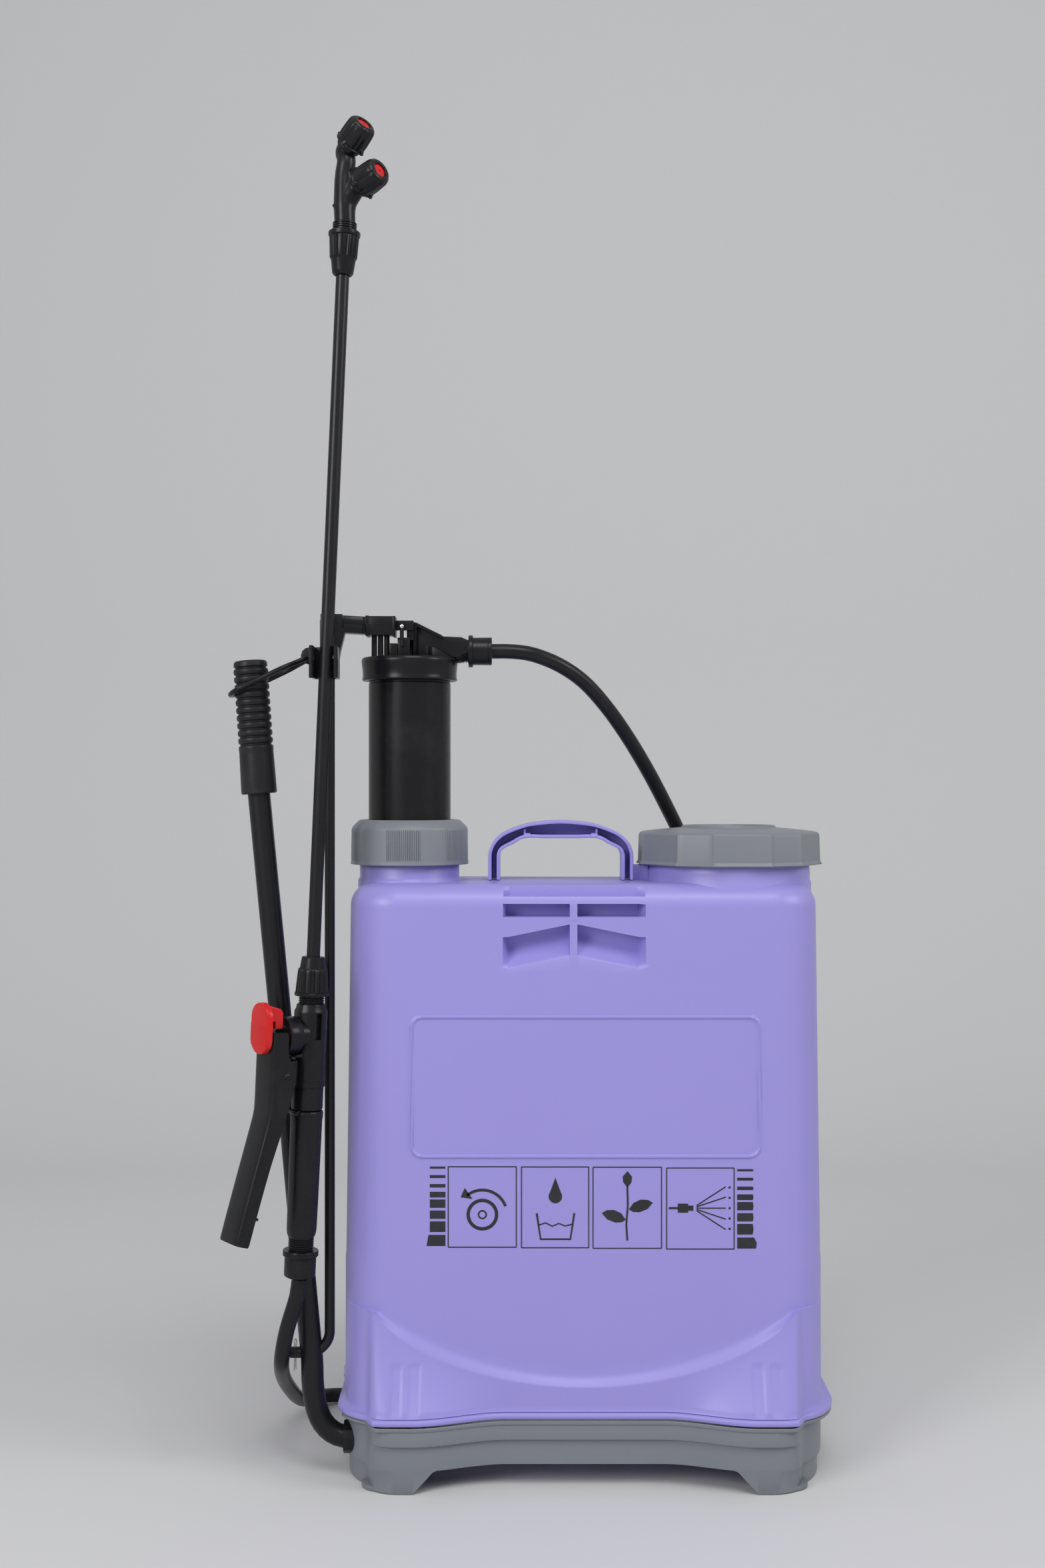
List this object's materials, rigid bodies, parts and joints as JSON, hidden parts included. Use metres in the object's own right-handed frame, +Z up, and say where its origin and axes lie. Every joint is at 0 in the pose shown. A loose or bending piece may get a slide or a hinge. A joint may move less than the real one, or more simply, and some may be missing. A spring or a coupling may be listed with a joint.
{
  "type": "knapsack sprayer",
  "caption": "Lever-operated backpack sprayer: lavender tank on a grey base, side pump with air vessel, forked-nozzle lance with trigger valve, hose and shoulder straps.",
  "frame": {"origin": "middle of the footprint of the rigid pieces, on the surface the sprayer stands on", "axes": "+Z up, -Y towards the tank's printed front, +Y towards the wearer's back side, -X towards the pump lever and lance"},
  "size_m": [0.4754, 0.2541, 1.0534],
  "materials": {
    "tank_lavender": "satin moulded polyethylene",
    "grey_plastic": "satin moulded plastic",
    "black_plastic": "semi-gloss moulded plastic",
    "black_rubber": "satin rubber",
    "hose_black": "smooth PVC hose",
    "painted_steel": "gloss black paint",
    "zinc_steel": "bright zinc plating",
    "red_plastic": "semi-gloss moulded plastic",
    "webbing": "woven polypropylene webbing",
    "strap_pad": "foam pad in woven cover",
    "white_nylon": "natural nylon"
  },
  "bodies": {
    "root": {"tank": "tank_lavender", "base": "grey_plastic", "base_screw_1": "zinc_steel", "base_screw_2": "zinc_steel", "base_screw_3": "zinc_steel", "base_screw_4": "zinc_steel", "carry_handle": "tank_lavender", "pump_nut": "grey_plastic", "pump_barrel": "white_nylon", "barrel_gasket": "black_rubber", "foot_valve": "black_plastic", "foot_ball": "zinc_steel", "shaft_bush_outer": "black_plastic", "shaft_bush_inner": "black_plastic", "hose_upper": "hose_black", "hose_lower": "hose_black", "strap_left": "webbing", "strap_right": "webbing", "strap_pad_left": "strap_pad", "strap_pad_right": "strap_pad"},
    "strainer": {"strainer_basket": "black_plastic"},
    "lid_thread": {"lid_seal": "black_rubber"},
    "lid": {"fill_lid": "grey_plastic", "lid_breather": "grey_plastic"},
    "plunger": {"air_vessel": "black_plastic", "piston": "white_nylon", "cup_seal": "black_rubber", "outlet_ball": "zinc_steel", "vessel_cap": "black_plastic", "pump_hose_nut": "black_plastic", "arm_bracket": "black_plastic", "arm_pin": "zinc_steel", "rod_top_pin": "zinc_steel"},
    "rod": {"connecting_rod": "painted_steel"},
    "catch": {"catch_loop": "black_plastic"},
    "lever": {"lever_tube": "painted_steel", "lever_grip": "black_rubber", "crank_pin": "painted_steel", "cotter_pin": "zinc_steel", "shaft_collar": "zinc_steel"},
    "lance": {"lance_tube": "painted_steel", "lance_nut_lower": "black_plastic", "lance_nut_upper": "black_plastic", "valve_body": "black_plastic", "valve_cap": "black_plastic", "valve_spring": "zinc_steel", "trigger_pin": "zinc_steel", "lance_grip": "black_plastic", "grip_filter": "white_nylon", "handle_hose_nut": "black_plastic", "nozzle_body": "black_plastic", "swirl_core_1": "white_nylon", "swirl_core_2": "white_nylon"},
    "trigger": {"trigger": "black_plastic"},
    "lock": {"trigger_lock": "red_plastic"},
    "stem": {"valve_stem": "zinc_steel"},
    "nozzle_upper": {"nozzle_cap_1": "black_plastic", "nozzle_disc_1": "red_plastic"},
    "nozzle_lower": {"nozzle_cap_2": "black_plastic", "nozzle_disc_2": "red_plastic"}
  },
  "joints": [
    {"name": "lever_swing", "type": "hinge", "parent": "root", "child": "lever", "pos_m": [-0.1093, -0.0415, 0.03], "axis": [-1, 0, 0], "range_deg": [0, 90]},
    {"name": "plunger_slide", "type": "slide", "parent": "root", "child": "plunger", "axis": [0, 0, -1], "range_m": [0, 0.0697]},
    {"name": "rod_swing", "type": "hinge", "parent": "plunger", "child": "rod", "pos_m": [-0.1583, -0.0415, 0.632], "axis": [1, 0, 0], "range_deg": [0, 7.03]},
    {"name": "catch_swing", "type": "hinge", "parent": "plunger", "child": "catch", "pos_m": [-0.1759, -0.0415, 0.6387], "axis": [0, 1, 0], "range_deg": [0, 60]},
    {"name": "strainer_turn", "type": "hinge", "parent": "root", "child": "strainer", "pos_m": [0.1597, 0.0105, 0.48], "axis": [0, 0, 1], "range_deg": [0, 360]},
    {"name": "lid_lift", "type": "slide", "parent": "root", "child": "lid_thread", "axis": [0, 0, 1], "range_m": [0, 0.0061]},
    {"name": "lid_turn", "type": "hinge", "parent": "lid_thread", "child": "lid", "pos_m": [0.1597, 0.0105, 0.49], "axis": [0, 0, 1], "range_deg": [0, 360]},
    {"name": "lance_unclip", "type": "slide", "parent": "root", "child": "lance", "axis": [0, -1, 0], "range_m": [0, 0.08]},
    {"name": "trigger_pull", "type": "hinge", "parent": "lance", "child": "trigger", "pos_m": [-0.19267, -0.08251, 0.31968], "axis": [0.6151, -0.788, -0.0265], "range_deg": [0, 14], "stiffness_Nm_per_rad": 3, "springref_deg": -8.59},
    {"name": "stem_slide", "type": "slide", "parent": "lance", "child": "stem", "axis": [-0.7873, -0.6157, 0.0339], "range_m": [0, 0.0067]},
    {"name": "lock_slide", "type": "slide", "parent": "trigger", "child": "lock", "axis": [0.043, 0, 0.9991], "range_m": [0, 0.0045]},
    {"name": "nozzle_upper_turn", "type": "hinge", "parent": "lance", "child": "nozzle_upper", "pos_m": [-0.1341, -0.0725, 1.039], "axis": [0.5819, -0.5117, 0.6321], "range_deg": [0, 270]},
    {"name": "nozzle_lower_turn", "type": "hinge", "parent": "lance", "child": "nozzle_lower", "pos_m": [-0.1229, -0.0775, 1.0045], "axis": [0.7296, -0.6097, 0.3098], "range_deg": [0, 270]}
  ],
  "couplings": [
    {"joint": "plunger_slide", "follows": "lever_swing", "m_per_rad": 0.044327},
    {"joint": "rod_swing", "follows": "lever_swing", "ratio": 0.078056},
    {"joint": "lid_lift", "follows": "lid_turn", "m_per_rad": 0.00095493},
    {"joint": "stem_slide", "follows": "trigger_pull", "m_per_rad": 0.027}
  ]
}
